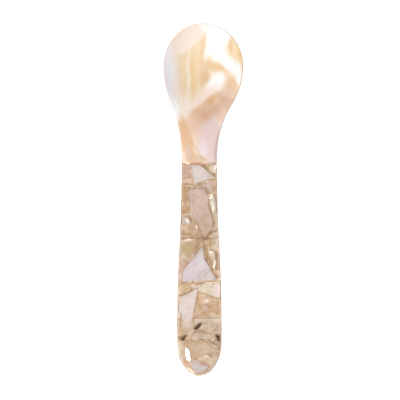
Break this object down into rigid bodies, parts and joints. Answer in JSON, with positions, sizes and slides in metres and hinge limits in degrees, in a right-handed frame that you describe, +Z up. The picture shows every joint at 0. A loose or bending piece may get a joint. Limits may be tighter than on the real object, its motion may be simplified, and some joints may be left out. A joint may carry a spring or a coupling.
{
  "type": "caviar spoon",
  "caption": "Caviar spoon: a carved mother-of-pearl bowl and neck let into a flat, round-ended clear resin handle with shell chips set inside it.",
  "frame": {"origin": "centre of the bounding box in plan, at the lowest level, where the belly of the bowl and the butt of the handle touch the table", "axes": "+Y from the butt of the handle to the tip of the bowl, +Z up out of the bowl, X across"},
  "size_m": [0.0288, 0.127, 0.0076],
  "materials": {
    "nacre": "polished mother-of-pearl",
    "resin": "clear polished casting resin",
    "pearl": "polished white mother-of-pearl",
    "lilac": "polished lilac mother-of-pearl",
    "rose": "polished pink mother-of-pearl",
    "blush": "polished pale pink mother-of-pearl",
    "cream": "polished cream mother-of-pearl",
    "tan": "polished tan mother-of-pearl",
    "amber": "polished orange-tan mother-of-pearl",
    "olive": "polished olive-yellow mother-of-pearl",
    "grey": "polished pale grey mother-of-pearl",
    "bark": "dark brown shell skin"
  },
  "bodies": {
    "root": {"amber_chip_1": "amber", "amber_chip_2": "amber", "amber_chip_3": "amber", "amber_chip_4": "amber", "amber_chip_5": "amber", "amber_chip_6": "amber", "amber_chip_7": "amber", "amber_chip_8": "amber", "bark_chip_1": "bark", "bark_chip_2": "bark", "bark_chip_3": "bark", "blush_chip_1": "blush", "blush_chip_2": "blush", "blush_chip_3": "blush", "blush_chip_4": "blush", "blush_chip_5": "blush", "blush_chip_6": "blush", "blush_chip_7": "blush", "bowl": "nacre", "cream_chip_1": "cream", "cream_chip_10": "cream", "cream_chip_11": "cream", "cream_chip_12": "cream", "cream_chip_13": "cream", "cream_chip_2": "cream", "cream_chip_3": "cream", "cream_chip_4": "cream", "cream_chip_5": "cream", "cream_chip_6": "cream", "cream_chip_7": "cream", "cream_chip_8": "cream", "cream_chip_9": "cream", "grey_chip_1": "grey", "grey_chip_2": "grey", "grey_chip_3": "grey", "grey_chip_4": "grey", "handle": "resin", "lilac_chip_1": "lilac", "lilac_chip_2": "lilac", "olive_chip_1": "olive", "olive_chip_2": "olive", "pearl_chip_1": "pearl", "pearl_chip_2": "pearl", "pearl_chip_3": "pearl", "pearl_chip_4": "pearl", "pearl_chip_5": "pearl", "pearl_chip_6": "pearl", "rose_chip_1": "rose", "rose_chip_2": "rose", "rose_chip_3": "rose", "tan_chip_1": "tan", "tan_chip_10": "tan", "tan_chip_2": "tan", "tan_chip_3": "tan", "tan_chip_4": "tan", "tan_chip_5": "tan", "tan_chip_6": "tan", "tan_chip_7": "tan", "tan_chip_8": "tan", "tan_chip_9": "tan"}
  },
  "joints": []
}
